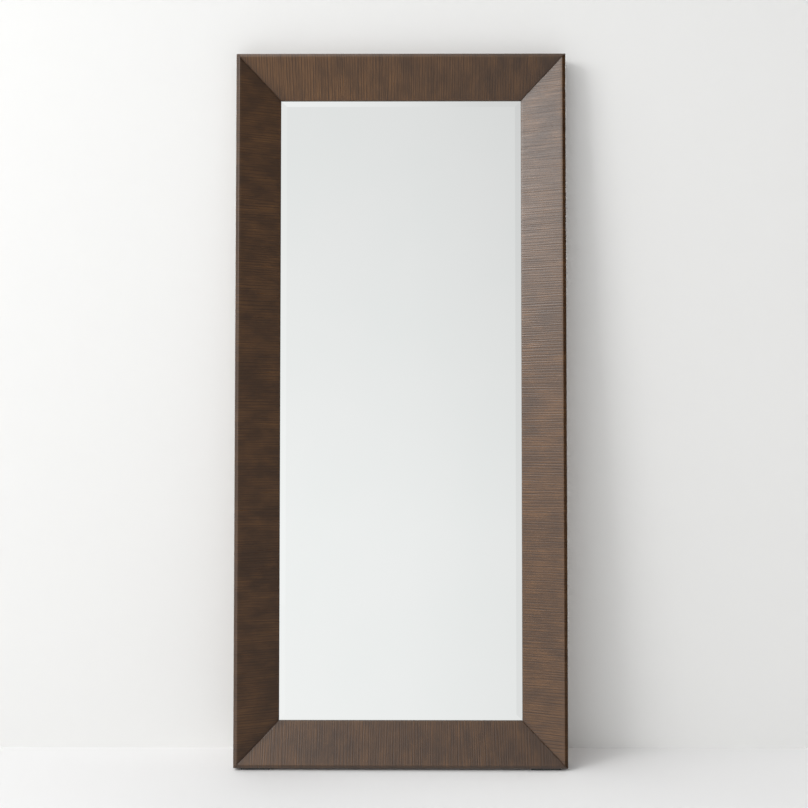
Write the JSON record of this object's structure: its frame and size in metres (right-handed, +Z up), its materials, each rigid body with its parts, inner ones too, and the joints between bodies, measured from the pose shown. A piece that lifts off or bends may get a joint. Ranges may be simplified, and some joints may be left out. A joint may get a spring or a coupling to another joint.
{
  "type": "leaning floor mirror",
  "caption": "Full-length bevelled mirror in a wide mitred frame of dark cross-grained veneer, leaning back on rubber feet and bumpers, with turn buttons and hanging rings behind.",
  "frame": {"origin": "on the floor, under the middle of the mirror's overall box as it leans", "axes": "+X to the right seen from the front, +Y towards the wall that it leans on, +Z up; the glass faces -Y and tilts upwards by 4 degrees"},
  "size_m": [0.914, 0.209, 1.9695],
  "materials": {
    "dark_veneer": "satin dark brown stained veneer, fine ribbed grain across each member",
    "beech": "unfinished beech",
    "silvered_glass": "silvered clear glass with a ground and polished bevel",
    "fibreboard": "bare hardboard",
    "zinc_plated_steel": "zinc plated, dull",
    "rubber": "matt black rubber"
  },
  "bodies": {
    "frame": {"left_stile": "dark_veneer", "right_stile": "dark_veneer", "top_rail": "dark_veneer", "bottom_rail": "dark_veneer", "bottom_left_mitre_tongue": "beech", "top_left_mitre_tongue": "beech", "top_right_mitre_tongue": "beech", "bottom_right_mitre_tongue": "beech", "mirror_glass": "silvered_glass", "backing_board": "fibreboard", "left_setting_block": "rubber", "right_setting_block": "rubber", "bottom_left_corner_plate": "zinc_plated_steel", "bottom_left_plate_screw_1": "zinc_plated_steel", "bottom_left_plate_screw_2": "zinc_plated_steel", "bottom_left_plate_screw_3": "zinc_plated_steel", "bottom_left_plate_screw_4": "zinc_plated_steel", "top_left_corner_plate": "zinc_plated_steel", "top_left_plate_screw_1": "zinc_plated_steel", "top_left_plate_screw_2": "zinc_plated_steel", "top_left_plate_screw_3": "zinc_plated_steel", "top_left_plate_screw_4": "zinc_plated_steel", "top_right_corner_plate": "zinc_plated_steel", "top_right_plate_screw_1": "zinc_plated_steel", "top_right_plate_screw_2": "zinc_plated_steel", "top_right_plate_screw_3": "zinc_plated_steel", "top_right_plate_screw_4": "zinc_plated_steel", "bottom_right_corner_plate": "zinc_plated_steel", "bottom_right_plate_screw_1": "zinc_plated_steel", "bottom_right_plate_screw_2": "zinc_plated_steel", "bottom_right_plate_screw_3": "zinc_plated_steel", "bottom_right_plate_screw_4": "zinc_plated_steel", "top_turn_button_screw": "zinc_plated_steel", "bottom_turn_button_screw": "zinc_plated_steel", "left_turn_button_1_screw": "zinc_plated_steel", "left_turn_button_2_screw": "zinc_plated_steel", "left_turn_button_3_screw": "zinc_plated_steel", "right_turn_button_1_screw": "zinc_plated_steel", "right_turn_button_2_screw": "zinc_plated_steel", "right_turn_button_3_screw": "zinc_plated_steel", "left_hanger_strap": "zinc_plated_steel", "left_hanger_screw_1": "zinc_plated_steel", "left_hanger_screw_2": "zinc_plated_steel", "left_foot": "rubber", "left_bumper": "rubber", "right_hanger_strap": "zinc_plated_steel", "right_hanger_screw_1": "zinc_plated_steel", "right_hanger_screw_2": "zinc_plated_steel", "right_foot": "rubber", "right_bumper": "rubber"},
    "top_turn_button": {"top_turn_button": "zinc_plated_steel"},
    "bottom_turn_button": {"bottom_turn_button": "zinc_plated_steel"},
    "left_turn_button_1": {"left_turn_button_1": "zinc_plated_steel"},
    "left_turn_button_2": {"left_turn_button_2": "zinc_plated_steel"},
    "left_turn_button_3": {"left_turn_button_3": "zinc_plated_steel"},
    "right_turn_button_1": {"right_turn_button_1": "zinc_plated_steel"},
    "right_turn_button_2": {"right_turn_button_2": "zinc_plated_steel"},
    "right_turn_button_3": {"right_turn_button_3": "zinc_plated_steel"},
    "left_hanging_ring": {"left_hanging_ring": "zinc_plated_steel"},
    "right_hanging_ring": {"right_hanging_ring": "zinc_plated_steel"}
  },
  "joints": [
    {"name": "top_turn_button_spin", "type": "hinge", "parent": "frame", "child": "top_turn_button", "pos_m": [0, 0.09061, 1.86567], "axis": [0, 0.9976, -0.0698], "continuous": true},
    {"name": "bottom_turn_button_spin", "type": "hinge", "parent": "frame", "child": "bottom_turn_button", "pos_m": [0, -0.03272, 0.10198], "axis": [0, 0.9976, -0.0698], "continuous": true},
    {"name": "left_turn_button_1_spin", "type": "hinge", "parent": "frame", "child": "left_turn_button_1", "pos_m": [-0.357, -0.01123, 0.40923], "axis": [0, 0.9976, -0.0698], "continuous": true},
    {"name": "left_turn_button_2_spin", "type": "hinge", "parent": "frame", "child": "left_turn_button_2", "pos_m": [-0.357, 0.02895, 0.98382], "axis": [0, 0.9976, -0.0698], "continuous": true},
    {"name": "left_turn_button_3_spin", "type": "hinge", "parent": "frame", "child": "left_turn_button_3", "pos_m": [-0.357, 0.06913, 1.55842], "axis": [0, 0.9976, -0.0698], "continuous": true},
    {"name": "right_turn_button_1_spin", "type": "hinge", "parent": "frame", "child": "right_turn_button_1", "pos_m": [0.357, -0.01123, 0.40923], "axis": [0, 0.9976, -0.0698], "continuous": true},
    {"name": "right_turn_button_2_spin", "type": "hinge", "parent": "frame", "child": "right_turn_button_2", "pos_m": [0.357, 0.02895, 0.98382], "axis": [0, 0.9976, -0.0698], "continuous": true},
    {"name": "right_turn_button_3_spin", "type": "hinge", "parent": "frame", "child": "right_turn_button_3", "pos_m": [0.357, 0.06913, 1.55842], "axis": [0, 0.9976, -0.0698], "continuous": true},
    {"name": "left_ring_swing", "type": "hinge", "parent": "frame", "child": "left_hanging_ring", "pos_m": [-0.397, 0.07921, 1.66598], "axis": [1, 0, 0], "range_deg": [-4, 179]},
    {"name": "right_ring_swing", "type": "hinge", "parent": "frame", "child": "right_hanging_ring", "pos_m": [0.397, 0.07921, 1.66598], "axis": [1, 0, 0], "range_deg": [-4, 179]}
  ]
}
